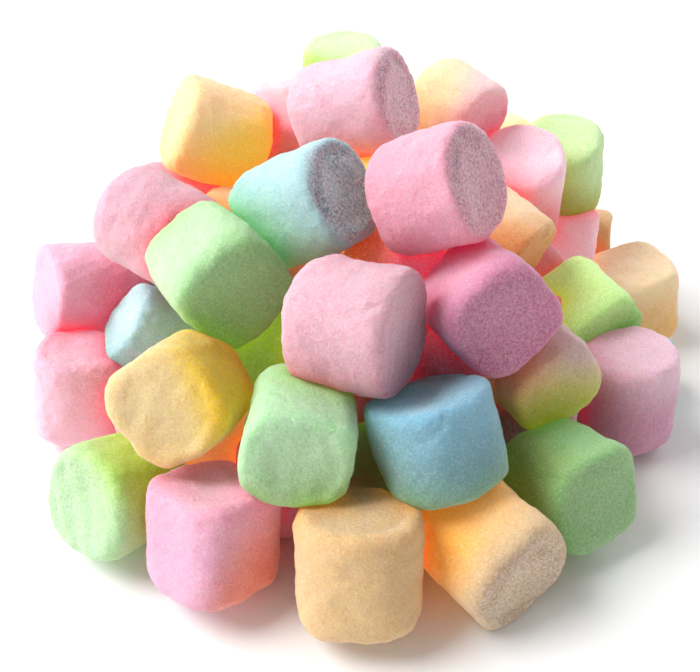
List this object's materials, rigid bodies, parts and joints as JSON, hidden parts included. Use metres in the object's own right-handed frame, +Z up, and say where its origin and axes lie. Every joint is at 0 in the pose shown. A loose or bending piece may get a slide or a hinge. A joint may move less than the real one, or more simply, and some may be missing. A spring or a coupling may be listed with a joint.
{
  "type": "marshmallow heap",
  "caption": "Heap of soft pastel marshmallows lying loose on a table, as one solid out to its uneven outline, with a flat underside.",
  "frame": {"origin": "on the table, under the middle of the heap's bounding box", "axes": "+Z up, -Y towards the front that shows most, +X to the right seen from the front"},
  "size_m": [0.1968, 0.2134, 0.0983],
  "materials": {
    "pink_marshmallow": "powdery, matte, translucent",
    "lilac_marshmallow": "powdery, matte, translucent",
    "lime_marshmallow": "powdery, matte, translucent",
    "mint_marshmallow": "powdery, matte, translucent",
    "yellow_marshmallow": "powdery, matte, translucent",
    "orange_marshmallow": "powdery, matte, translucent",
    "blue_marshmallow": "powdery, matte, translucent"
  },
  "bodies": {
    "root": {"marshmallow_heap": "pink_marshmallow"}
  },
  "joints": []
}
